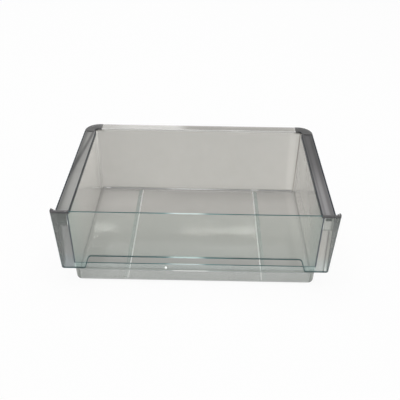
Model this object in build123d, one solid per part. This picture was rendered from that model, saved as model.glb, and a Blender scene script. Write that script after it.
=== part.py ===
from build123d import *
import os

# Clear refrigerator drawer: a moulded tub with a low front upstand and a flange beside
# each front edge, a front panel that stands on the tub's front ledge and is bonded to
# these, a rail along each side flange, a cap round each rear corner and a bracket behind
# each end of the panel. The rear flange rises between the caps, level with them.
# Millimetres, +Z up, the front looks towards -Y, and the origin lies on the ground in the
# middle of the drawer's footprint.

# Overall sizes
overall_width = 470.0      # over the tips of the two ears
overall_depth = 324.0      # panel's face to the backs of the corner caps
rim_height = 143.0         # ground to the tops of the panel and the rails

# Tub
wall = 2.4                 # thickness of floor, walls and flange
wall_lean = 4.5            # how far each wall draws in between the flange and the ground
front_lean = 2.6           # how far the low front wall draws in below the panel's ledge
flange_width = 16.0        # from the wall's outer face to the flange's edge
flange_lip_drop = 9.0      # depth of the turned-down edge of the flange
flange_lip = 2.0           # its thickness
rim_round = 1.5            # rounding of the raised rear rim's long edges
corner_radius = 9.4        # upright corners, outside
floor_radius = 8.0         # edge between floor and walls, outside
upstand_height = 37.5      # top of the low front wall, which rises behind the panel
ridge_spacing = 233.0      # between the two ridges on the floor
ridge_height = 2.2
ridge_width = 9.0
ridge_steep_side = 1.6     # width of each ridge's steep flank, towards the middle

# Rails and rear corner caps
fit = 0.3                  # running gap between snapped pieces
rail_crown = 2.8           # from the flange's top to the rail's top
rail_lip = 1.6             # thickness of the lip inside the tub
rail_lip_drop = 8.0        # how far that lip reaches down
rail_skirt = 1.8           # thickness of the outer skirt
bead_width = 3.0           # raised bead along each edge of the rail
trough_depth = 1.6         # hollow between the beads
hook_reach = 1.2           # snap hook under the flange's turned-down edge
hook_thickness = 1.7
edge_round = 0.8           # rounding of the rails' and caps' upper edges
cap_leg = 4.4              # how far a cap runs on past the bend, each way

# Front panel
panel_thickness = 3.0
panel_foot_inset = 0.5     # lower corners, inside the rails' outer faces
panel_foot_height = 27.7   # ground to the panel's lower edge and the ledge it stands on
panel_corner_radius = 4.0
panel_edge_round = 0.6
grip_margin = 47.9         # from a lower corner to the end of the finger cut-out's upper edge
grip_flare = 8.2           # how much further out each end of the cut-out lies at its foot
grip_height = 25.8
grip_radius = 5.0

# Front brackets
plate_thickness = 2.0      # plate behind the panel's end
plate_drop = 29.0          # from the rim to the lower edge of its inner part
ear_reach = 7.8            # ear's tip beyond the rail's outer face
ear_rise = 4.0             # ear's tip above the rails
ear_chamfer = 1.5
cheek_thickness = 2.0
cheek_depth = 18.0         # how far the cheek reaches back behind the plate
cheek_radius = 12.0        # its lower rear corner
shelf_thickness = 2.0      # shelf that carries the front end of the flange
strut_width = 1.6
strut_depth = 4.0
strut_drop = 12.0
strut_run = 4.6            # how far the strut leans outwards on its way down

# Places worked out from the sizes above
front = -overall_depth / 2
back = overall_depth / 2
panel_back = front + panel_thickness
plate_back = panel_back + plate_thickness
flange_top = rim_height - rail_crown
flange_underside = flange_top - wall
rail_outer = overall_width / 2 - ear_reach
flange_half = rail_outer - rail_skirt - fit
flange_rear = back - rail_skirt - fit
tub_half_top = flange_half - flange_width
tub_rear_top = flange_rear - flange_width
rail_inner = tub_half_top - wall - fit - rail_lip
lip_bottom = flange_top - flange_lip_drop
rail_bottom = lip_bottom - fit - hook_thickness
bend_x = tub_half_top - corner_radius
bend_y = tub_rear_top - corner_radius
rail_end = bend_y - cap_leg
rear_rim_half = bend_x - cap_leg - fit
panel_foot_half = rail_outer - panel_foot_inset
grip_half = panel_foot_half - grip_margin
grip_top = panel_foot_height + grip_height
cheek_inner = panel_foot_half - cheek_thickness
plate_bottom = rim_height - plate_drop
SIDES = {"left": -1, "right": 1}


def slab(x0, x1, y0, y1, z0, z1):
    """Plain block between two corners."""
    block = Box(x1 - x0, y1 - y0, z1 - z0, align=(Align.MIN, Align.MIN, Align.MIN))
    return Pos(x0, y0, z0) * block


def upright_plate(points, y0, y1):
    """Plate of the outline points (x, z), between two depths."""
    outline = Plane.XZ * make_face(Polyline(*points, close=True))
    return Pos(0, y0, 0) * extrude(outline, y1 - y0, dir=(0, 1, 0))


def lean_at(height):
    """How far the walls have drawn in at this height."""
    return wall_lean * (flange_top - height) / flange_top


def front_at(height):
    """Depth of the low front wall's outer face at this height."""
    return front + front_lean * (panel_foot_height - height) / panel_foot_height


def leaning_block(inset, front_low, front_high, z0, z1):
    """Block whose sides and back follow the tub's outer faces, moved in by inset."""
    half_low = tub_half_top - lean_at(z0) - inset
    half_high = tub_half_top - lean_at(z1) - inset
    rear_low = tub_rear_top - lean_at(z0) - inset
    rear_high = tub_rear_top - lean_at(z1) - inset
    seen_from_front = [(-half_low, z0), (half_low, z0), (half_high, z1), (-half_high, z1)]
    seen_from_side = [(front_low, z0), (rear_low, z0), (rear_high, z1), (front_high, z1)]
    side_outline = Plane.YZ * make_face(Polyline(*seen_from_side, close=True))
    side_block = extrude(side_outline, overall_width / 2, both=True)
    return side_block & upright_plate(seen_from_front, front_high, back)


def upright_edges(block):
    """The four leaning corner edges, those in front first."""
    leaning = block.edges().filter_by(lambda edge: abs(edge.tangent_at(0.5).Z) > 0.9)
    return leaning.sort_by(Axis.Y)


def stepped_block(inset, floor, step, top):
    """The tub's outer form, moved in by inset: its front steps back at the panel's ledge."""
    low = leaning_block(inset, front_at(floor) + inset, front_at(step) + inset, floor, step)
    low = fillet(upright_edges(low), corner_radius - inset)
    low = fillet(low.edges().group_by(Axis.Z)[0], floor_radius - inset)
    high = leaning_block(inset, panel_back + inset, panel_back + inset, step, top)
    high = fillet(upright_edges(high)[-2:], corner_radius - inset)
    return low + high


def plan_outline(half, rear, radius, start, z0, z1):
    """Slab with square front corners and round rear corners."""
    block = slab(-half, half, start, rear, z0, z1)
    return fillet(block.edges().filter_by(Axis.Z).sort_by(Axis.Y)[-2:], radius)


def flange_ring():
    """Flange round the sides and back, with its edge turned down."""
    outer_radius = corner_radius + flange_width
    ring = plan_outline(flange_half, flange_rear, outer_radius, plate_back, lip_bottom, flange_top)
    hollow = plan_outline(
        flange_half - flange_lip,
        flange_rear - flange_lip,
        outer_radius - flange_lip,
        plate_back - wall,
        lip_bottom - wall,
        flange_underside,
    )
    return ring - hollow


def rear_rim():
    """Raised rear flange between the caps, level with their tops and backs, open below."""
    inner_face = tub_rear_top - wall
    rim = slab(-rear_rim_half, rear_rim_half, inner_face, back, lip_bottom, rim_height)
    hollow = slab(
        wall - rear_rim_half,
        rear_rim_half - wall,
        tub_rear_top,
        back - flange_lip,
        lip_bottom - wall,
        rim_height - wall,
    )
    return rim, hollow


def floor_ridge(side):
    """Low ridge on the floor, steep towards the middle, from the upstand to the back wall."""
    apex = side * ridge_spacing / 2
    section = [
        (apex - side * ridge_steep_side, wall / 2),
        (apex - side * ridge_steep_side, wall),
        (apex, wall + ridge_height),
        (apex + side * (ridge_width - ridge_steep_side), wall),
        (apex + side * (ridge_width - ridge_steep_side), wall / 2),
    ]
    start = front + wall / 2
    end = tub_rear_top - lean_at(wall) - wall
    return upright_plate(section, start, end)


def front_flange(side):
    """Flange from a side wall's front edge out to the cheek, which the panel is bonded to."""
    top = plate_bottom - fit
    outer = cheek_inner - fit
    outline = [
        (tub_half_top - lean_at(panel_foot_height) - wall / 2, panel_foot_height),
        (outer, panel_foot_height),
        (outer, top),
        (tub_half_top - lean_at(top) - wall / 2, top),
    ]
    flange = upright_plate(outline, panel_back, panel_back + wall)
    return flange if side > 0 else mirror(flange, Plane.YZ)


def make_tub():
    """Floor, leaning walls, stepped front with its upstand, flanges and two floor ridges."""
    shell = stepped_block(0, 0, panel_foot_height, flange_top)
    cavity = stepped_block(wall, wall, panel_foot_height - wall, rim_height + wall)
    doorway = leaning_block(wall, front - wall, front - wall, upstand_height, rim_height)
    doorway &= slab(-overall_width, overall_width, front - wall, bend_y, upstand_height, rim_height)
    rim, rim_hollow = rear_rim()
    tub = shell + flange_ring() + rim - rim_hollow - cavity - doorway
    tub = fillet(tub.edges().filter_by(Axis.X).group_by(Axis.Z)[-1], rim_round)
    for side in SIDES.values():
        tub += floor_ridge(side) & shell
        tub += front_flange(side)
    return tub


def cap_profile(inner):
    """Section in x and z of a right-hand crown that starts at inner, with skirt and hook."""
    width = rail_outer - inner
    crown_place = Pos(inner + width / 2, rim_height - rail_crown / 2)
    profile = crown_place * Rectangle(width, rail_crown)
    skirt_drop = rim_height - rail_bottom
    skirt_place = Pos(rail_outer - rail_skirt / 2, rim_height - skirt_drop / 2)
    profile += skirt_place * Rectangle(rail_skirt, skirt_drop)
    hook_width = rail_skirt + hook_reach
    hook_place = Pos(rail_outer - hook_width / 2, rail_bottom + hook_thickness / 2)
    profile += hook_place * Rectangle(hook_width, hook_thickness)
    return fillet(profile.vertices().group_by(Axis.Y)[-1], edge_round)


def rail_profile():
    """The same section with a lip inside the tub and a shallow trough along its top."""
    lip = Pos(rail_inner + rail_lip / 2, rim_height - (rail_crown + rail_lip_drop) / 2)
    profile = cap_profile(rail_inner) + lip * Rectangle(rail_lip, rail_lip_drop - rail_crown)
    width = rail_outer - rail_inner
    half = width / 2 - bead_width
    radius = (half**2 + trough_depth**2) / (2 * trough_depth)
    centre_height = rim_height + radius - trough_depth
    return profile - Pos(rail_inner + width / 2, centre_height) * Circle(radius)


def stand_up(profile, y):
    """Turn a section drawn in x and z upright, at this depth."""
    return Pos(0, y, 0) * (Rot(90, 0, 0) * profile)


def make_rail(side):
    """Straight rail from the front bracket to the rear corner cap."""
    profile = stand_up(rail_profile(), plate_back)
    rail = extrude(profile, rail_end - plate_back, dir=(0, 1, 0))
    return rail if side > 0 else mirror(rail, Plane.YZ)


def make_corner_cap(side):
    """Cap that closes the rail's trough and follows the flange round the rear corner."""
    profile = cap_profile(tub_half_top - wall)
    side_leg = extrude(stand_up(profile, rail_end), cap_leg, dir=(0, 1, 0))
    bend_axis = Axis((bend_x, bend_y, 0), (0, 0, 1))
    bend = revolve(stand_up(profile, bend_y), bend_axis, 90)
    rear_face = bend.faces().filter_by(Axis.X).sort_by(Axis.X)[0]
    rear_leg = extrude(rear_face, cap_leg, dir=(-1, 0, 0))
    cap = side_leg + bend + rear_leg
    return cap if side > 0 else mirror(cap, Plane.YZ)


def edge_x(height):
    """Outer edge of the panel and its brackets, which flares outwards to the ears."""
    share = (height - panel_foot_height) / (rim_height - panel_foot_height)
    return panel_foot_half + (overall_width / 2 - panel_foot_half) * share


def make_front_panel():
    """Clear sheet with a finger cut-out in its lower edge and room for the brackets' tops."""
    right_half = [
        (grip_half, grip_top),
        (grip_half + grip_flare, panel_foot_height),
        (edge_x(panel_foot_height), panel_foot_height),
        (edge_x(flange_top), flange_top),
        (rail_inner, flange_top),
        (rail_inner, rim_height),
    ]
    left_half = [(-x, z) for x, z in reversed(right_half)]
    sheet = upright_plate(right_half + left_half, front, panel_back)
    upright = sheet.edges().filter_by(Axis.Y)
    low = upright.filter_by(lambda edge: edge.center().Z < grip_top + 1)
    grip_corners = low.filter_by(lambda edge: abs(edge.center().X) < grip_half + grip_flare + 1)
    sheet = fillet(grip_corners, grip_radius)
    outer = sheet.edges().filter_by(Axis.Y)
    foot_corners = outer.filter_by(
        lambda edge: edge.center().Z < panel_foot_height + 1
        and abs(edge.center().X) > panel_foot_half - 1
    )
    sheet = fillet(foot_corners, panel_corner_radius)
    return fillet(sheet.faces().sort_by(Axis.Y)[0].edges(), panel_edge_round)


def make_bracket(side):
    """Plate behind the panel's end with its ear, cheek, shelf and strut."""
    wall_clear = tub_half_top + fit
    cheek_outer = panel_foot_half
    tip = overall_width / 2
    top_outline = [
        (rail_inner, rim_height),
        (rail_outer, rim_height),
        (tip - ear_chamfer, rim_height + ear_rise),
        (tip, rim_height + ear_rise - ear_chamfer),
        (tip, rim_height),
        (edge_x(flange_top), flange_top),
    ]
    top_bar = upright_plate(top_outline + [(rail_inner, flange_top)], front, plate_back)
    plate_outline = [
        (wall_clear, flange_top),
        (edge_x(flange_top), flange_top),
        (cheek_outer, panel_foot_height),
        (cheek_inner, panel_foot_height),
        (cheek_inner, plate_bottom),
        (wall_clear, plate_bottom),
    ]
    plate = upright_plate(plate_outline, panel_back, plate_back)
    cheek_rear = plate_back + cheek_depth
    cheek_top = rail_bottom - fit
    cheek = slab(cheek_inner, cheek_outer, panel_back, cheek_rear, panel_foot_height, cheek_top)
    rear_foot = cheek.edges().filter_by(Axis.X).sort_by(Axis.Y)[-2:].sort_by(Axis.Z)[0]
    cheek = fillet(rear_foot, cheek_radius)
    shelf_outer = flange_half - flange_lip - fit
    shelf = slab(
        wall_clear,
        shelf_outer,
        panel_back,
        cheek_rear,
        flange_underside - shelf_thickness,
        flange_underside,
    )
    strut_top = cheek_outer - cheek_thickness / 2
    strut_foot = strut_top + strut_run
    strut_outline = [
        (strut_top, cheek_top),
        (strut_top + strut_width, cheek_top),
        (strut_foot + strut_width, cheek_top - strut_drop),
        (strut_foot, cheek_top - strut_drop),
    ]
    strut = upright_plate(strut_outline, panel_back, plate_back + strut_depth)
    bracket = top_bar + plate + cheek + shelf + strut
    return bracket if side > 0 else mirror(bracket, Plane.YZ)


pieces = {"tub": make_tub(), "front_panel": make_front_panel()}
for name, side in SIDES.items():
    pieces[f"{name}_rail"] = make_rail(side)
    pieces[f"{name}_rear_corner_cap"] = make_corner_cap(side)
    pieces[f"{name}_front_bracket"] = make_bracket(side)

os.makedirs("parts", exist_ok=True)
for name, shape in pieces.items():
    export_step(shape, f"parts/{name}.step")
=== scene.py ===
import math

import bpy
from mathutils import Euler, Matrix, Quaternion, Vector


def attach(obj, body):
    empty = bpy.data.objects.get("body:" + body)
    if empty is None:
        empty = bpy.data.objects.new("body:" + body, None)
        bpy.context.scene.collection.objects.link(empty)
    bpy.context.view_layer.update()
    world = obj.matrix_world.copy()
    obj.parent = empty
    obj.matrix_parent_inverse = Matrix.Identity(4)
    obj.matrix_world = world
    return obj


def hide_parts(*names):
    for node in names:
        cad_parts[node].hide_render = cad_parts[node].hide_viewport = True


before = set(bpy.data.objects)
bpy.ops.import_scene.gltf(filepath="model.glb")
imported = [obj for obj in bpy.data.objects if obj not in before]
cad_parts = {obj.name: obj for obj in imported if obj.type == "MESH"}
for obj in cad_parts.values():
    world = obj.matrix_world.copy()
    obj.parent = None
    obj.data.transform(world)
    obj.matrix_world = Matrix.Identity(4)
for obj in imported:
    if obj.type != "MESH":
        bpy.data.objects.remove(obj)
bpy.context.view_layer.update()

# Each CAD node of the drawer is copied, its faces are coloured by where they lie, and the copy
# takes the node's place. All but the panel also have their sharp edges softened. One small
# piece, gate_mark, is added. Sizes and places are in millimetres, but the floor's size, the
# lamps and the camera's place are in metres. +Z is up, and the front looks towards -Y.

MM = 0.001
X, Y, Z = 0, 1, 2
ACROSS, ALONG, UP = (1, 0, 0), (0, 1, 0), (0, 0, 1)
SIDES = {"left": -1, "right": 1}


# Sizes

def node_span(name, axis):
    """Lowest and highest place of a CAD node along an axis."""
    places = [vertex.co[axis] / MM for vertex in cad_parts[name].data.vertices]
    return round(min(places), 3), round(max(places), 3)


FRONT, PANEL_BACK = node_span("front_panel", Y)
LEDGE, RIM = node_span("front_panel", Z)
RAIL_INNER, RAIL_OUTER = node_span("right_rail", X)
FLANGE_HALF = node_span("tub", X)[1]

# Tub
WALL = 2.4                       # thickness of floor, walls and flange
WALL_TOP = RIM - 2.8             # flange's top, where the walls are widest
WALL_HALF = FLANGE_HALF - 16.0   # side walls' outer faces there
WALL_LEAN = 4.5                  # how far they draw in down to the ground
FLOOR_ROUND = 8.0                # edge between floor and walls, outside
FOOT_TOP = 12.0                  # the walls are flat from here up
UPSTAND_TOP = 37.5               # top of the low front wall, behind the panel
RIDGE_CREST = 116.5              # crest of each ridge on the floor
RIDGE_HEIGHT = 2.2
RIDGE_FLANK = 1.6                # width of a ridge's steep side, towards the middle
RIDGE_SLOPE = 7.4                # width of its gentle side
RIM_BASE = 139.5                 # the back wall's lighter strip starts here
LEDGE_BAND = 1.8                 # lit band along the ledge's front edge
FRONT_ZONE = PANEL_BACK + 9.0    # the front wall and its bend into the floor lie before this
FRONT_LAYER = PANEL_BACK + 3.0   # the flanges and plates behind the panel lie before this
BACK_ZONE = 130.0                # the back wall, its corners and its rim lie behind this

# Panel
PANEL_BORDER = 0.8               # band along its outline, which looks dark through the edge
FOOT_HALF = RAIL_OUTER - 0.5     # its lower corners
GRIP_TOP = LEDGE + 25.8          # finger cut-out
GRIP_HALF = FOOT_HALF - 47.9     # half width of the cut-out at its top
GRIP_FLARE = 8.2                 # how much further out it ends at its foot

# Rails, corner caps and front brackets
SKIRT_BAND = 2.4                 # band above the outer skirt, dark where it is seen edge on
LIP_BAND = 1.0                   # the same for the lip inside the tub
RAIL_ROUND = 0.9                 # reach of the rounded upper edges
CHEEK_INNER = FOOT_HALF - 2.0    # inner face of a bracket's cheek
PLATE_BOTTOM = RIM - 29.0        # lower edge of its plate
NOTCH_INNER, NOTCH_OUTER = 211.5, 221.0   # painted shade on the right bracket's plate, shaped as a notch
NOTCH_LOW, NOTCH_HIGH = 132.0, 137.5

# Gate mark, on the front wall's upstand
GATE_PLACE = (-49.5, PANEL_BACK + 0.2, 30.4)
GATE_RADIUS = 2.0
GATE_THICKNESS = 2.0

# Softened edges, and how far apart faces that touch are drawn, so that each of them shows
TUB_SOFTENING = 0.4
TRIM_SOFTENING = 0.25
GATE_SOFTENING = 0.8
SEAT_GAP = 0.15

# Shaping of the copies
WELD_REACH = 0.002                # corners nearer than this are one corner
FLAT_ANGLE = math.radians(0.3)    # faces that meet under this angle are one flat face
SMOOTH_ANGLE = math.radians(35)   # faces that meet under this angle are shaded as one curve
SHARP_ANGLE = math.radians(40)    # edges sharper than this are softened


# Selecting and shaping

def pick(obj):
    """Make obj the one selected, active object."""
    bpy.ops.object.select_all(action="DESELECT")
    obj.select_set(True)
    bpy.context.view_layer.objects.active = obj


def welded_copy(node, name, *materials):
    """A copy of a CAD node with its loose triangles joined into whole flat faces."""
    obj = bpy.data.objects.new(name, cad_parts[node].data.copy())
    bpy.context.scene.collection.objects.link(obj)
    pick(obj)
    obj.data.materials.clear()
    bpy.ops.mesh.customdata_custom_splitnormals_clear()
    bpy.ops.object.mode_set(mode="EDIT")
    bpy.ops.mesh.select_all(action="SELECT")
    bpy.ops.mesh.remove_doubles(threshold=WELD_REACH * MM)
    bpy.ops.mesh.dissolve_limited(angle_limit=FLAT_ANGLE)
    bpy.ops.object.mode_set(mode="OBJECT")
    for material in materials:
        obj.data.materials.append(material)
    return obj


def smooth_faces(obj):
    """Smooth the curved faces and keep the big flat ones looking flat."""
    pick(obj)
    bpy.ops.object.shade_smooth_by_angle(angle=SMOOTH_ANGLE)
    even = obj.modifiers.new("even_faces", "WEIGHTED_NORMAL")
    even.keep_sharp = True
    bpy.ops.object.modifier_apply(modifier=even.name)


def soften_edges(obj, width, edge_slot=-1):
    """Round the sharp edges a little, as a mould leaves them; slot -1 keeps their colour."""
    pick(obj)
    rounding = obj.modifiers.new("rounding", "BEVEL")
    rounding.width = width * MM
    rounding.segments = 2
    rounding.limit_method = "ANGLE"
    rounding.angle_limit = SHARP_ANGLE
    rounding.use_clamp_overlap = True
    rounding.material = edge_slot
    bpy.ops.object.modifier_apply(modifier=rounding.name)


def select_faces(obj, region):
    """Leave obj in edit mode with the faces of a region selected."""
    pick(obj)
    bpy.ops.object.mode_set(mode="EDIT")
    bpy.ops.mesh.select_mode(type="FACE")
    bpy.ops.mesh.select_all(action="DESELECT")
    bpy.ops.object.mode_set(mode="OBJECT")
    for face in obj.data.polygons:
        face.select = region(face.center / MM, face.normal)
    bpy.ops.object.mode_set(mode="EDIT")


def cut_faces(obj, region, point, normal):
    """Cut the faces of a region along a plane."""
    select_faces(obj, region)
    bpy.ops.mesh.bisect(plane_co=[c * MM for c in point],
                        plane_no=Vector(normal).normalized())
    bpy.ops.object.mode_set(mode="OBJECT")


def inset_faces(obj, region, width):
    """Draw a border of this width inside the faces of a region."""
    select_faces(obj, region)
    bpy.ops.mesh.inset(thickness=width * MM, depth=0, use_even_offset=False)
    bpy.ops.object.mode_set(mode="OBJECT")


def move_faces(obj, region, step):
    """Move the faces of a region a little, so that they don't lie in a neighbour's face."""
    select_faces(obj, region)
    bpy.ops.transform.translate(value=[c * MM for c in step])
    bpy.ops.object.mode_set(mode="OBJECT")


def colour_faces(obj, material, region):
    """Give the faces of a region another material."""
    if material.name not in obj.data.materials:
        obj.data.materials.append(material)
    index = obj.data.materials.find(material.name)
    for face in obj.data.polygons:
        if region(face.center / MM, face.normal):
            face.material_index = index


def finish_piece(obj, node):
    """Put a dressed copy in its node's place."""
    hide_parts(node)
    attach(obj, "root")


# Building blocks of the materials

WHITE = (1, 1, 1)
EVEN_BLEND = 0.5                 # Layer Weight's own middle setting
GRAZING_POWER = 4.0              # keeps the mirroring low until a face is seen at a grazing angle


def new_material(name):
    """A material with an empty node tree."""
    material = bpy.data.materials.new(name)
    material.use_nodes = True
    material.node_tree.nodes.clear()
    return material, material.node_tree


def add_node(tree, kind, **inputs):
    """A new node with some inputs set, an underscore standing for the space in a name."""
    made = tree.nodes.new(kind)
    for key, value in inputs.items():
        made.inputs[key.replace("_", " ")].default_value = value
    return made


def calculate(tree, operation, value, by):
    """A value changed by a number or by another value."""
    step = tree.nodes.new("ShaderNodeMath")
    step.operation = operation
    tree.links.new(value, step.inputs[0])
    if isinstance(by, float):
        step.inputs[1].default_value = by
    else:
        tree.links.new(by, step.inputs[1])
    return step.outputs["Value"]


def remap(tree, value, source, target):
    """Map a value from one range, given as (low, high), to another."""
    step = add_node(tree, "ShaderNodeMapRange", From_Min=source[0], From_Max=source[1],
                    To_Min=target[0], To_Max=target[1])
    tree.links.new(value, step.inputs["Value"])
    return step.outputs["Result"]


def mix_shaders(tree, share, first, second):
    mix = tree.nodes.new("ShaderNodeMixShader")
    tree.links.new(share, mix.inputs["Fac"])
    tree.links.new(first, mix.inputs[1])
    tree.links.new(second, mix.inputs[2])
    return mix.outputs["Shader"]


def multiply(tree, colour, tone):
    """A colour darkened or lightened by a tone."""
    mix = tree.nodes.new("ShaderNodeMix")
    mix.data_type = "RGBA"
    mix.blend_type = "MULTIPLY"
    mix.inputs["Factor"].default_value = 1.0
    tree.links.new(colour, mix.inputs["A"])
    tree.links.new(tone, mix.inputs["B"])
    return mix.outputs["Result"]


def object_place(tree):
    return tree.nodes.new("ShaderNodeTexCoord").outputs["Object"]


def object_noise(tree, scale, detail, stretch=(1, 1, 1)):
    """Noise on Object coordinates, stretched along the axes."""
    mapping = add_node(tree, "ShaderNodeMapping", Scale=stretch)
    noise = add_node(tree, "ShaderNodeTexNoise", Scale=scale, Detail=detail)
    tree.links.new(object_place(tree), mapping.inputs["Vector"])
    tree.links.new(mapping.outputs["Vector"], noise.inputs["Vector"])
    return noise.outputs["Fac"]


def mirror_share(tree, head_on, grazing):
    """How much the surface mirrors: little head on, much at a grazing angle."""
    facing = add_node(tree, "ShaderNodeLayerWeight", Blend=EVEN_BLEND)
    steep = calculate(tree, "POWER", facing.outputs["Facing"], GRAZING_POWER)
    return remap(tree, steep, (0, 1), (head_on, grazing))


def tone_along(tree, direction, stops):
    """Tone that changes along a direction, given as (place, grey or colour) pairs."""
    low, high = stops[0][0], stops[-1][0]
    along = tree.nodes.new("ShaderNodeVectorMath")
    along.operation = "DOT_PRODUCT"
    along.inputs[1].default_value = direction
    tree.links.new(object_place(tree), along.inputs[0])
    ramp = tree.nodes.new("ShaderNodeValToRGB")
    elements = ramp.color_ramp.elements
    while len(elements) < len(stops):
        elements.new(1.0)
    for element, (place, tone) in zip(elements, stops):
        element.position = (place - low) / (high - low)
        element.color = (*tone, 1) if isinstance(tone, tuple) else (tone, tone, tone, 1)
    share = remap(tree, along.outputs["Value"], (low * MM, high * MM), (0, 1))
    tree.links.new(share, ramp.inputs["Fac"])
    return ramp.outputs["Color"]


# Clear and smoked plastic

NOISE_RANGE = (0.3, 0.7)         # most of a noise lies between these
CLOUD_SCALE = 9.0                # clouds in the milky body, as a noise scale
CLOUD_TONES = (0.95, 1.05)       # how they change its colour
CLOUD_HAZES = (0.94, 1.06)       # how they change its share
RUB_SCALE = 22.0                 # fine rubs in the gloss
RUB_STRETCH = (1, 1.6, 1)
RUB_ROUGHNESSES = (0.8, 1.3)     # how they change the roughness
WAVE_SCALE = 14.0                # slow waves of a moulded face
WAVE_HEIGHT = 0.6
WAVE_STRENGTH = 0.15
# colour of the light that glow gives off, a painted glint
GLOW_COLOUR = (1, 1, 0.95, 1)


def clear_plastic(name, tint, body, haze, mirror=(0.04, 0.5), roughness=0.08, tones=(), glow=0.0):
    """See-through plastic: a tint, a faint milky body and a glossy skin with fine rubs."""
    material, tree = new_material(name)
    link = tree.links.new
    cloud = object_noise(tree, CLOUD_SCALE, detail=3.0)
    uneven = tree.nodes.new("ShaderNodeMix")
    uneven.data_type = "RGBA"
    dark, light = CLOUD_TONES
    uneven.inputs["A"].default_value = (*[c * dark for c in body], 1)
    uneven.inputs["B"].default_value = (*[min(c * light, 1) for c in body], 1)
    link(cloud, uneven.inputs["Factor"])
    clear = tree.nodes.new("ShaderNodeRGB")
    clear.outputs["Color"].default_value = (*tint, 1)
    milky_colour, clear_colour = uneven.outputs["Result"], clear.outputs["Color"]
    for direction, stops in tones:
        tone = tone_along(tree, direction, stops)
        milky_colour = multiply(tree, milky_colour, tone)
        clear_colour = multiply(tree, clear_colour, tone)

    milk = add_node(tree, "ShaderNodeBsdfPrincipled", Roughness=0.5, Specular_IOR_Level=0.0)
    link(milky_colour, milk.inputs["Base Color"])
    # glow paints a glint: the part gives off light though it is no lamp
    if glow > 0:
        milk.inputs["Emission Color"].default_value = GLOW_COLOUR
        milk.inputs["Emission Strength"].default_value = glow
    through = tree.nodes.new("ShaderNodeBsdfTransparent")
    link(clear_colour, through.inputs["Color"])
    milky_share = remap(tree, cloud, NOISE_RANGE, [haze * factor for factor in CLOUD_HAZES])
    inside = mix_shaders(tree, milky_share, through.outputs["BSDF"], milk.outputs["BSDF"])

    bump = add_node(tree, "ShaderNodeBump", Strength=WAVE_STRENGTH, Distance=WAVE_HEIGHT * MM)
    link(object_noise(tree, WAVE_SCALE, detail=1.0), bump.inputs["Height"])
    rubs = object_noise(tree, RUB_SCALE, detail=2.0, stretch=RUB_STRETCH)
    roughnesses = [roughness * factor for factor in RUB_ROUGHNESSES]
    gloss = tree.nodes.new("ShaderNodeBsdfGlossy")
    link(remap(tree, rubs, NOISE_RANGE, roughnesses), gloss.inputs["Roughness"])
    link(bump.outputs["Normal"], gloss.inputs["Normal"])
    skin = mix_shaders(tree, mirror_share(tree, *mirror), inside, gloss.outputs["BSDF"])
    out = tree.nodes.new("ShaderNodeOutputMaterial")
    link(skin, out.inputs["Surface"])
    return material


# Tones of each piece, as a direction and (place, grey or colour) pairs along it: painted light, shade and
# reflections, standing for the room around the drawer, which isn't modelled.

WALL_TONES = [
    # painted shade: floor darker, rounding at the walls' foot darker still, walls, raised rear rim darker
    (UP, [(0, 0.84), (2.5, 0.84), (3.0, 0.74), (7.0, 0.68), (8.4, 1.02), (40, 1.0),
          (139.8, 0.98), (140.4, 0.82)]),
    # darker towards the front, and painted shade just before the back wall
    (ALONG, [(-150, (0.75, 0.79, 0.785)), (-60, 0.91), (60, 0.99), (95, 1.0), (131, 0.94),
             (136.8, 0.9), (137.8, 0.99)]),
    # painted light on the left wall and in a stripe near the right one
    (ACROSS, [(-206, 1.22), (-203, 0.97), (-60, 1.0), (100, 1.0), (182, 1.03), (187, 1.1),
              (195, 1.1), (198, 1.04), (206, 1.06)]),
]
# Painted light and shade on the upright flanges behind the panel: darker towards the top, the left one
# darker than the right.
LEFT_FLANGE_TONES = [
    (ACROSS, [(-232, 0.52), (-222, 0.52), (-218, 0.6), (-209, 0.57)]),
    (UP, [(20, 1.18), (60, 1.05), (100, 0.95), (112, 0.88)]),
]
RIGHT_FLANGE_TONES = [
    # light, with one dark upright line
    (ACROSS, [(209, 0.88), (217, 0.9), (218.5, 0.5), (219.5, 0.5), (221, 1.1), (231, 1.0)]),
    (UP, [(20, 1.2), (60, 1.04), (112, 0.98)]),
]
CORNER_TONES = [(UP, [(12, 1.5), (50, 1.3), (75, 1.0), (140, 1.0)])]
FRONT_WALL_TONES = [(UP, [(25, 1.0), (28.5, (0.97, 0.995, 0.995))])]

# Painted highlights along the ledge, the bend at the back wall's foot and the rear rim, with darker
# painted shade beside them
LEDGE_TONES = [
    (ACROSS, [(-60, (0.42, 0.45, 0.44)), (-40, (0.55, 0.6, 0.6)), (-35, 1.0), (18, 1.0),
              (25, (0.55, 0.6, 0.6)), (60, (0.42, 0.45, 0.44))]),
]
BEND_TONES = [
    (ACROSS, [(-196, 0.55), (-193, 1.0), (-187, 1.0), (-183, 0.55), (-110, 0.5), (-70, 0.6),
              (-52, 1.0), (15, 1.0), (40, 0.75), (75, 0.5), (110, 0.5), (115, 0.9),
              (124, 0.9), (129, 0.5)]),
]
RIM_TONES = [
    (ACROSS, [(-60, 0.78), (-40, 0.8), (-32, 1.0), (5, 1.0), (14, 0.8), (55, 0.78), (64, 1.0),
              (88, 1.0), (98, 0.78)]),
]

# Edges in the green of clear plastic with a painted highlight in the middle, and the panel's bluish foot
GREEN_EDGE_TONES = [
    (ACROSS, [(-90, (0.05, 0.12, 0.125)), (-50, (0.12, 0.28, 0.29)), (-34, (0.85, 1.0, 1.0)),
              (4, (0.85, 1.0, 1.0)), (20, (0.12, 0.28, 0.29)), (70, (0.05, 0.12, 0.125))]),
]
PANEL_TONES = [(UP, [(27, (1.0, 1.03, 1.045)), (50, (0.99, 1.01, 1.02)), (60, 1.0)])]

# Painted reflections and shade on the rails: darker towards the back, with light and dark bands across
# them.
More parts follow.
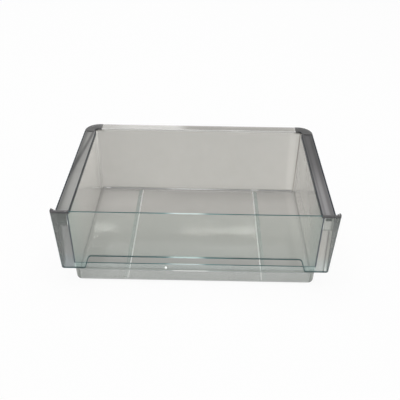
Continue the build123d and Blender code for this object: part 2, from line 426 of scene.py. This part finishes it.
LEFT_RAIL_TONES = [
    (ALONG, [(-157, 0.8), (-60, 0.78), (20, 0.68), (140, 0.64)]),
    (ACROSS, [(-227, 0.6), (-222, 0.62), (-218, 0.95), (-214, 1.06), (-206, 1.12)]),
    # a painted dark reflection that runs aslant
    ((1, -0.1, 0), [(-226.5, 1.0), (-223, 0.4), (-220.5, 0.4), (-217.5, 1.0)]),
]
RIGHT_RAIL_TONES = [
    (ALONG, [(-157, 0.84), (-70, 0.76), (10, 0.38), (60, 0.3), (140, 0.26)]),
    (ACROSS, [(206, 0.6), (208, 0.85), (210, 0.62), (213, 1.0), (217, 0.95), (220, 0.55),
              (227, 0.52)]),
]
# Painted shade on the brackets, darker towards their top, and much darker at the top of the left plate.
LEFT_BRACKET_TONES = [(UP, [(20, 1.0), (80, 0.93), (140, 0.78)])]
RIGHT_BRACKET_TONES = [(UP, [(20, 1.3), (95, 1.3), (122, 0.95), (140, 0.8)])]
LEFT_PLATE_TONES = [(UP, [(114, 0.52), (138, 0.18)])]


# Materials of the tub

tub_clear = clear_plastic("tub_clear", tint=(0.8, 0.795, 0.78), body=(0.9, 0.88, 0.83),
                          haze=0.31, mirror=(0.04, 0.7), tones=WALL_TONES)
tub_edge = clear_plastic("tub_edge", tint=(0.6, 0.61, 0.61), body=(0.36, 0.37, 0.37), haze=0.5,
                         mirror=(0.08, 0.35), roughness=0.1)
left_flange = clear_plastic("left_flange", tint=(0.86, 0.83, 0.85), body=(0.92, 0.88, 0.9),
                            haze=0.3, tones=LEFT_FLANGE_TONES)
right_flange = clear_plastic("right_flange", tint=(0.83, 0.79, 0.78), body=(0.89, 0.84, 0.83),
                             haze=0.3, tones=RIGHT_FLANGE_TONES)
front_clear = clear_plastic("front_clear", tint=(0.935, 0.94, 0.935), body=(0.9, 0.91, 0.89),
                            haze=0.17, tones=FRONT_WALL_TONES)
ledge_edge = clear_plastic("ledge_edge", tint=WHITE, body=WHITE, haze=0.9, mirror=(0.1, 0.5),
                           tones=LEDGE_TONES)
blue_edge = clear_plastic("blue_edge", tint=(0.06, 0.09, 0.16), body=(0.015, 0.025, 0.055),
                          haze=0.9, mirror=(0.01, 0.15))
foot_shade = clear_plastic("foot_shade", tint=(0.5, 0.51, 0.5), body=(0.35, 0.36, 0.35), haze=0.45)
ridge_light = clear_plastic("ridge_light", tint=(0.95, 0.95, 0.95), body=(1.0, 1.0, 0.98), haze=0.85)
ridge_shade = clear_plastic("ridge_shade", tint=(0.64, 0.68, 0.66), body=(0.42, 0.46, 0.44), haze=0.36)
corner_shade = clear_plastic("corner_shade", tint=(0.5, 0.48, 0.45), body=(0.34, 0.32, 0.3),
                             haze=0.5, tones=CORNER_TONES)
curve_light = clear_plastic("curve_light", tint=WHITE, body=WHITE, haze=0.8, tones=BEND_TONES)
rim_face = clear_plastic("rim_face", tint=(0.96, 0.95, 0.93), body=(0.84, 0.83, 0.81), haze=0.7)
rim_edge = clear_plastic("rim_edge", tint=WHITE, body=WHITE, haze=0.75, tones=RIM_TONES)
# its glow is a painted glint
gate_white = clear_plastic("gate_white", tint=WHITE, body=WHITE, haze=1.0, mirror=(0.06, 0.4),
                           roughness=0.45, glow=0.5)


# Materials of the panel, and the green edge that it shares with the tub's upstand

panel_clear = clear_plastic("panel_clear", tint=(0.95, 0.97, 0.955), body=(0.6, 0.64, 0.6),
                            haze=0.05, tones=PANEL_TONES)
teal_edge = clear_plastic("teal_edge", tint=WHITE, body=WHITE, haze=0.75, mirror=(0.04, 0.25),
                          tones=GREEN_EDGE_TONES)


# Materials of the rails, caps and brackets, their tones a little different on each side, as painted light
# and shade

rail_smoke = {
    "left": clear_plastic("left_smoke", tint=(0.82, 0.82, 0.81), body=(0.56, 0.56, 0.54), haze=0.5,
                          mirror=(0.04, 0.35), roughness=0.37, tones=LEFT_RAIL_TONES),
    "right": clear_plastic("right_smoke", tint=(0.8, 0.79, 0.79), body=(0.54, 0.53, 0.54), haze=0.5,
                           mirror=(0.04, 0.35), roughness=0.37, tones=RIGHT_RAIL_TONES),
}
bracket_smoke = {
    "left": clear_plastic("left_bracket", tint=(0.47, 0.455, 0.465), body=(0.19, 0.182, 0.188),
                          haze=0.5, mirror=(0.05, 0.6), roughness=0.19, tones=LEFT_BRACKET_TONES),
    "right": clear_plastic("right_bracket", tint=(0.47, 0.46, 0.465), body=(0.19, 0.185, 0.188),
                           haze=0.5, mirror=(0.05, 0.6), roughness=0.19, tones=RIGHT_BRACKET_TONES),
}
bracket_plate = {
    "left": clear_plastic("left_plate", tint=(0.62, 0.62, 0.63), body=(0.4, 0.4, 0.4), haze=0.4,
                          mirror=(0.05, 0.5), roughness=0.2, tones=LEFT_PLATE_TONES),
    "right": clear_plastic("right_plate", tint=(0.74, 0.72, 0.71), body=(0.7, 0.68, 0.67), haze=0.32),
}
smoke_cap = clear_plastic("smoke_cap", tint=(0.45, 0.45, 0.45), body=(0.17, 0.17, 0.168), haze=0.5,
                          mirror=(0.03, 0.25), roughness=0.37)
smoke_edge = clear_plastic("smoke_edge", tint=(0.12, 0.15, 0.19), body=(0.025, 0.033, 0.045),
                           haze=0.8, mirror=(0.01, 0.12))
lip_shade = clear_plastic("lip_shade", tint=(0.24, 0.28, 0.32), body=(0.05, 0.065, 0.08), haze=0.75)
notch_shade = clear_plastic("notch_shade", tint=(0.1, 0.11, 0.11), body=(0.03, 0.035, 0.035),
                            haze=0.75, mirror=(0.02, 0.2))


# Regions: each tells by a face's centre and normal whether the face belongs to it

def wall_outside(height):
    """Half width over the side walls' outer faces at this height."""
    return WALL_HALF - WALL_LEAN * (WALL_TOP - height) / WALL_TOP


def against_panel(at, normal):
    """Front faces that touch the panel's back."""
    return normal.y < -0.9 and abs(at.y - PANEL_BACK) < 0.1


def flange_top(at, normal):
    """The flange's top, on which the rails and caps lie."""
    return normal.z > 0.9 and abs(at.z - WALL_TOP) < 0.1


def ledge_front(at, normal):
    """The front wall's outer face below the ledge."""
    return normal.y < -0.9 and at.y < FRONT + 2.5 and FOOT_TOP < at.z < LEDGE


def ledge_lit_band(at, normal):
    """The band cut off that face along the ledge."""
    return at.y < FRONT + 0.5 and LEDGE - LEDGE_BAND < at.z < LEDGE


def ledge_step(at, normal):
    """Where the front wall steps back from the ledge to the upstand."""
    return (PANEL_BACK - 0.6 < at.y < PANEL_BACK + 4 and LEDGE - 3 < at.z < LEDGE + 0.4
            and abs(at.x) < wall_outside(LEDGE) - FLOOR_ROUND)


def front_flange(at, normal):
    """Upright flange beside each front edge of the tub."""
    return abs(normal.y) > 0.9 and at.y < FRONT_LAYER and abs(at.x) > wall_outside(at.z)


def left_front_flange(at, normal):
    return front_flange(at, normal) and at.x < 0


def right_front_flange(at, normal):
    return front_flange(at, normal) and at.x > 0


def front_wall(at, normal):
    """Low front wall with its upstand, as far as the upright corners."""
    return (abs(normal.y) > 0.5 and at.y < FRONT_ZONE and at.z < UPSTAND_TOP + 1
            and abs(at.x) < wall_outside(at.z) - FLOOR_ROUND)


def front_wall_foot(at, normal):
    """Lower half of the front wall's outer rounding."""
    return normal.z < -0.4 and normal.y < -0.1 and at.y < FRONT_ZONE and at.z < FLOOR_ROUND / 2


def upstand_edge(at, normal):
    """Top edge of the upstand."""
    return normal.z > 0.2 and at.y < FRONT_ZONE and abs(at.z - UPSTAND_TOP) < 0.5


def wall_front_edge(at, normal):
    """Front edges of the side walls, seen through the panel."""
    return (normal.y < -0.9 and at.y < PANEL_BACK + 1 and at.z > UPSTAND_TOP
            and wall_outside(at.z) - WALL - 0.1 < abs(at.x) < wall_outside(at.z) + 0.1)


def below_crest(at):
    """Higher than the floor, and lower than the softened crest of a ridge."""
    return WALL < at.z < WALL + RIDGE_HEIGHT - 0.2


def ridge_steep_side(at, normal):
    return (abs(normal.x) > 0.6 and below_crest(at)
            and abs(abs(at.x) - RIDGE_CREST + RIDGE_FLANK / 2) < 0.5)


def ridge_gentle_side(at, normal):
    return (0.1 < abs(normal.x) < 0.6 and below_crest(at)
            and RIDGE_CREST < abs(at.x) < RIDGE_CREST + RIDGE_SLOPE)


def right_rear_corner(at, normal):
    """Inner rounding of the upright corner at the right rear."""
    return (normal.x < -0.55 and normal.y < -0.55 and at.x < WALL_HALF and at.y > BACK_ZONE
            and FOOT_TOP < at.z < WALL_TOP)


def back_wall(at, normal):
    """Inner face of the back wall."""
    return normal.y < -0.9 and at.y > BACK_ZONE and at.z > FOOT_TOP


def back_wall_bend(at, normal):
    """Upper part of the rounding between the floor and the back wall."""
    return (normal.y < -0.85 and 0.02 < normal.z < 0.45 and at.y > BACK_ZONE
            and WALL < at.z < FOOT_TOP)


def rear_rim_face(at, normal):
    """The back wall's lighter strip below the rim."""
    return back_wall(at, normal) and at.z > RIM_BASE


def rear_rim_edge(at, normal):
    """Rounded long edges of the raised rear rim."""
    return (abs(normal.y) > 0.2 and 0.2 < normal.z < 0.95 and at.y > BACK_ZONE
            and at.z > RIM - 0.6)


def panel_front(at, normal):
    return normal.y < -0.9999


def panel_rear(at, normal):
    return normal.y > 0.9999


def panel_outline(at, normal):
    """Narrow faces all round the panel."""
    return abs(normal.y) < 0.5


def grip_border(at, normal):
    """Border along the panel's foot and round its finger cut-out."""
    rounded = abs(normal.y) < 0.98
    along_foot = at.z < LEDGE + 1
    along_grip = abs(at.z - GRIP_TOP) < 1
    grip_end = GRIP_HALF - 1 < abs(at.x) < GRIP_HALF + GRIP_FLARE + 1
    low = at.z < GRIP_TOP + 1 and abs(at.x) < FOOT_HALF - 2
    return low and (rounded or along_foot or along_grip or grip_end)


def rail_top(at, normal):
    return normal.z > 0.95 and at.z > RIM - 3


def rail_top_border(at, normal):
    """Bands of the rail's top above its skirt and its lip."""
    between = RAIL_INNER + LIP_BAND < abs(at.x) < RAIL_OUTER - SKIRT_BAND
    return normal.z > 0.9 and at.z > RIM - 1 and not between


def upper_rounding(at, normal):
    """Rounded upper edges of a rail or cap, over the skirt and the lip."""
    beside = abs(at.x) > RAIL_OUTER - RAIL_ROUND or abs(at.x) < RAIL_INNER + RAIL_ROUND
    return 0.2 < normal.z < 0.95 and abs(normal.x) > 0.2 and beside


def lip_inside(at, normal):
    """The lip's face towards the inside of the tub."""
    return abs(normal.x) > 0.9 and abs(at.x) < RAIL_INNER + 0.2


def cap_top(at, normal):
    return normal.z > 0.99 and abs(at.z - RIM) < 0.1


def cap_front_end(at, normal):
    """The cap's end against the rail."""
    return normal.y < -0.9 and abs(at.x) > WALL_HALF


def bracket_faces(at, normal):
    """Faces of a bracket that look straight forwards or back."""
    return abs(normal.y) > 0.9


def plate_front(at, normal):
    return normal.y < -0.9 and at.z > PLATE_BOTTOM and abs(at.x) < CHEEK_INNER


def plate(at, normal):
    """Both faces of a bracket's plate, below its top bar."""
    return (abs(normal.y) > 0.9 and at.y < FRONT_LAYER and abs(at.x) < CHEEK_INNER
            and PLATE_BOTTOM < at.z < WALL_TOP - 1)


def notch(at, normal):
    """Painted shade on the right bracket's plate, shaped as a notch."""
    return (normal.y < -0.9 and NOTCH_INNER < at.x < NOTCH_OUTER
            and NOTCH_LOW < at.z < NOTCH_HIGH)


# Pieces

TUB_COLOURS = [
    (left_flange, left_front_flange),
    (right_flange, right_front_flange),
    (front_clear, front_wall),
    (teal_edge, upstand_edge),
    (blue_edge, wall_front_edge),
    (ridge_light, ridge_steep_side),
    (ridge_shade, ridge_gentle_side),
    (corner_shade, right_rear_corner),
    (front_clear, ledge_step),
    (ledge_edge, ledge_lit_band),
    (curve_light, back_wall_bend),
    (rim_face, rear_rim_face),
    (rim_edge, rear_rim_edge),
    (foot_shade, front_wall_foot),
]


def make_tub():
    tub = welded_copy("tub", "tub_moulding", tub_clear, tub_edge)
    cut_faces(tub, against_panel, (0, 0, UPSTAND_TOP), UP)
    cut_faces(tub, back_wall, (0, 0, RIM_BASE), UP)
    for way in SIDES.values():
        cut_faces(tub, against_panel, (way * WALL_HALF, 0, WALL_TOP), (way * WALL_TOP, 0, -WALL_LEAN))
    move_faces(tub, against_panel, (0, SEAT_GAP, 0))
    move_faces(tub, flange_top, (0, 0, -SEAT_GAP))
    soften_edges(tub, TUB_SOFTENING, edge_slot=1)
    cut_faces(tub, ledge_front, (0, 0, LEDGE - LEDGE_BAND), UP)
    smooth_faces(tub)
    for material, region in TUB_COLOURS:
        colour_faces(tub, material, region)
    finish_piece(tub, "tub")


def make_panel():
    panel = welded_copy("front_panel", "panel_sheet", panel_clear)
    for region in (panel_rear, panel_front):
        inset_faces(panel, region, PANEL_BORDER)
    smooth_faces(panel)
    for region in (panel_outline, grip_border):
        colour_faces(panel, teal_edge, region)
    finish_piece(panel, "front_panel")


def make_gate_mark():
    """Small milky button on the upstand, where the tub was filled in its mould; it glows a little, a
    painted glint.
    """
    bpy.ops.object.select_all(action="DESELECT")
    bpy.ops.mesh.primitive_cylinder_add(vertices=24, radius=GATE_RADIUS * MM,
                                        depth=GATE_THICKNESS * MM)
    mark = bpy.context.object
    mark.name = "gate_mark"
    bpy.ops.object.mode_set(mode="EDIT")
    bpy.ops.mesh.select_all(action="SELECT")
    bpy.ops.transform.rotate(value=math.pi / 2, orient_axis="X", center_override=(0, 0, 0))
    bpy.ops.transform.translate(value=[c * MM for c in GATE_PLACE])
    bpy.ops.object.mode_set(mode="OBJECT")
    mark.data.materials.append(gate_white)
    soften_edges(mark, GATE_SOFTENING)
    smooth_faces(mark)
    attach(mark, "root")


def make_rail(side):
    rail = welded_copy(f"{side}_rail", f"{side}_rail_moulding", rail_smoke[side], smoke_edge)
    for bound in (RAIL_OUTER - SKIRT_BAND, RAIL_INNER + LIP_BAND):
        cut_faces(rail, rail_top, (SIDES[side] * bound, 0, 0), ACROSS)
    soften_edges(rail, TRIM_SOFTENING, edge_slot=1)
    smooth_faces(rail)
    colour_faces(rail, smoke_edge, upper_rounding)
    colour_faces(rail, lip_shade, lip_inside)
    colour_faces(rail, smoke_edge, rail_top_border)
    finish_piece(rail, f"{side}_rail")


def make_rear_corner_cap(side):
    node = f"{side}_rear_corner_cap"
    cap = welded_copy(node, f"{node}_moulding", smoke_cap, smoke_edge)
    inset_faces(cap, cap_top, SKIRT_BAND)
    soften_edges(cap, TRIM_SOFTENING, edge_slot=1)
    smooth_faces(cap)
    colour_faces(cap, smoke_edge, upper_rounding)
    colour_faces(cap, lip_shade, lip_inside)
    colour_faces(cap, bracket_smoke[side], cap_front_end)
    finish_piece(cap, node)


def make_front_bracket(side):
    node = f"{side}_front_bracket"
    bracket = welded_copy(node, f"{node}_moulding", bracket_smoke[side], smoke_edge)
    cut_faces(bracket, bracket_faces, (SIDES[side] * CHEEK_INNER, 0, 0), ACROSS)
    if side == "right":
        for bound in (NOTCH_INNER, NOTCH_OUTER):
            cut_faces(bracket, plate_front, (bound, 0, 0), ACROSS)
        for bound in (NOTCH_LOW, NOTCH_HIGH):
            cut_faces(bracket, plate_front, (0, 0, bound), UP)
    move_faces(bracket, against_panel, (0, SEAT_GAP, 0))
    soften_edges(bracket, TRIM_SOFTENING, edge_slot=1)
    smooth_faces(bracket)
    colour_faces(bracket, bracket_plate[side], plate)
    if side == "right":
        colour_faces(bracket, notch_shade, notch)
    finish_piece(bracket, node)


make_tub()
make_panel()
make_gate_mark()
for side in SIDES:
    make_rail(side)
    make_rear_corner_cap(side)
    make_front_bracket(side)


# Floor and world

FLOOR_SIZE = 12           # metres
FLOOR_DROP = 0.5          # the floor lies this far below the drawer
FLOOR_GREY = (0.93, 0.93, 0.93, 1)
PLAIN_SHARE = 0.92        # share of plain white in what the camera sees of the floor
ROOM_LIGHT = 0.44         # light from the room, which itself looks as white as 1


def seen_directly(tree):
    """1 for rays from the camera, from a mirroring face or sent through one, else 0."""
    path = tree.nodes.new("ShaderNodeLightPath")
    seen = calculate(tree, "MAXIMUM", path.outputs["Is Camera Ray"], path.outputs["Is Glossy Ray"])
    return calculate(tree, "MAXIMUM", seen, path.outputs["Is Transmission Ray"])


def pale_floor():
    bpy.ops.object.select_all(action="DESELECT")
    bpy.ops.mesh.primitive_plane_add(size=FLOOR_SIZE, location=(0, 0, -FLOOR_DROP * MM))
    floor = bpy.context.object
    floor.name = "pale_floor"
    material, tree = new_material("pale_floor")
    lit = add_node(tree, "ShaderNodeBsdfDiffuse", Color=FLOOR_GREY)
    white = add_node(tree, "ShaderNodeEmission", Color=(*WHITE, 1), Strength=1.0)
    share = calculate(tree, "MULTIPLY", seen_directly(tree), PLAIN_SHARE)
    surface = mix_shaders(tree, share, lit.outputs["BSDF"], white.outputs["Emission"])
    out = tree.nodes.new("ShaderNodeOutputMaterial")
    tree.links.new(surface, out.inputs["Surface"])
    floor.data.materials.append(material)


def studio_world():
    world = bpy.data.worlds.new("studio")
    bpy.context.scene.world = world
    world.use_nodes = True
    tree = world.node_tree
    tree.nodes.clear()
    level = remap(tree, seen_directly(tree), (0, 1), (ROOM_LIGHT, 1.0))
    light = add_node(tree, "ShaderNodeBackground", Color=(*WHITE, 1))
    tree.links.new(level, light.inputs["Strength"])
    out = tree.nodes.new("ShaderNodeOutputWorld")
    tree.links.new(light.outputs["Background"], out.inputs["Surface"])


# Lamps

def lamp(name, place, turn, size, power):
    """Rectangular lamp that the camera doesn't see, its turn in radians, its power in watts."""
    data = bpy.data.lights.new(name, "AREA")
    data.shape = "RECTANGLE"
    data.size, data.size_y = size
    data.energy = power
    obj = bpy.data.objects.new(name, data)
    obj.visible_camera = False
    obj.location = place
    obj.rotation_euler = turn
    bpy.context.scene.collection.objects.link(obj)


def softbox(name, azimuth, elevation, distance, size, brightness):
    """Lamp that faces the drawer, its azimuth in degrees from straight behind it."""
    turn, rise = math.radians(azimuth), math.radians(elevation)
    place = Vector((math.sin(turn) * math.cos(rise), math.cos(turn) * math.cos(rise),
                    math.sin(rise))) * distance
    facing = place.to_track_quat("Z", "Y").to_euler()
    lamp(name, place, facing, size, power=brightness * math.pi * size[0] * size[1])


pale_floor()
studio_world()
lamp("ceiling_panel", place=(0, 0.2, 2.2), turn=(0, 0, 0), size=(1.6, 1.6), power=22)
softbox("left_window", azimuth=-30, elevation=30.5, distance=2.5, size=(2.2, 0.22), brightness=3.0)
lamp("front_window", place=(-0.05, -2.2, 0.9), turn=(math.radians(68), 0, 0), size=(1.8, 1.0), power=10)
softbox("right_window", azimuth=28, elevation=30.5, distance=2.5, size=(0.6, 0.22), brightness=2.0)

# Four small lamps that the floor of the tub mirrors as bright patches
softbox("patch_left", azimuth=-17.0, elevation=33.9, distance=3.0, size=(0.08, 0.13), brightness=22.0)
softbox("patch_left_low", azimuth=-16.3, elevation=34.6, distance=3.0, size=(0.18, 0.06), brightness=18.0)
softbox("patch_right", azimuth=7.0, elevation=35.5, distance=3.0, size=(0.12, 0.05), brightness=30.0)
softbox("patch_streak", azimuth=0.8, elevation=35.6, distance=3.0, size=(0.36, 0.012), brightness=80.0)


# Camera, fitted to points measured in the photo, its angles in radians

CAMERA_PLACE = (0.01547, -1.01555, 0.71653)
CAMERA_DIP = 0.569        # below the horizon
CAMERA_TURN = 0.0095      # to the left
CAMERA_ROLL = 0.0125
SENSOR_WIDTH = 36         # millimetres, as the focal length
FOCAL_LENGTH = 57.53
CLIP_START = 0.05         # metres
SEE_THROUGH_FACES = 32    # how many see-through faces a ray may pass

camera = bpy.data.objects.new("camera", bpy.data.cameras.new("camera"))
bpy.context.scene.collection.objects.link(camera)
camera.location = CAMERA_PLACE
camera.data.sensor_width = SENSOR_WIDTH
camera.data.lens = FOCAL_LENGTH
camera.data.clip_start = CLIP_START
look = Euler((math.pi / 2 - CAMERA_DIP, 0, CAMERA_TURN)).to_quaternion()
camera.rotation_mode = "QUATERNION"
camera.rotation_quaternion = look @ Quaternion((0, 0, 1), CAMERA_ROLL)

scene = bpy.context.scene
scene.camera = camera
scene.view_settings.view_transform = "Standard"
scene.cycles.transparent_max_bounces = SEE_THROUGH_FACES
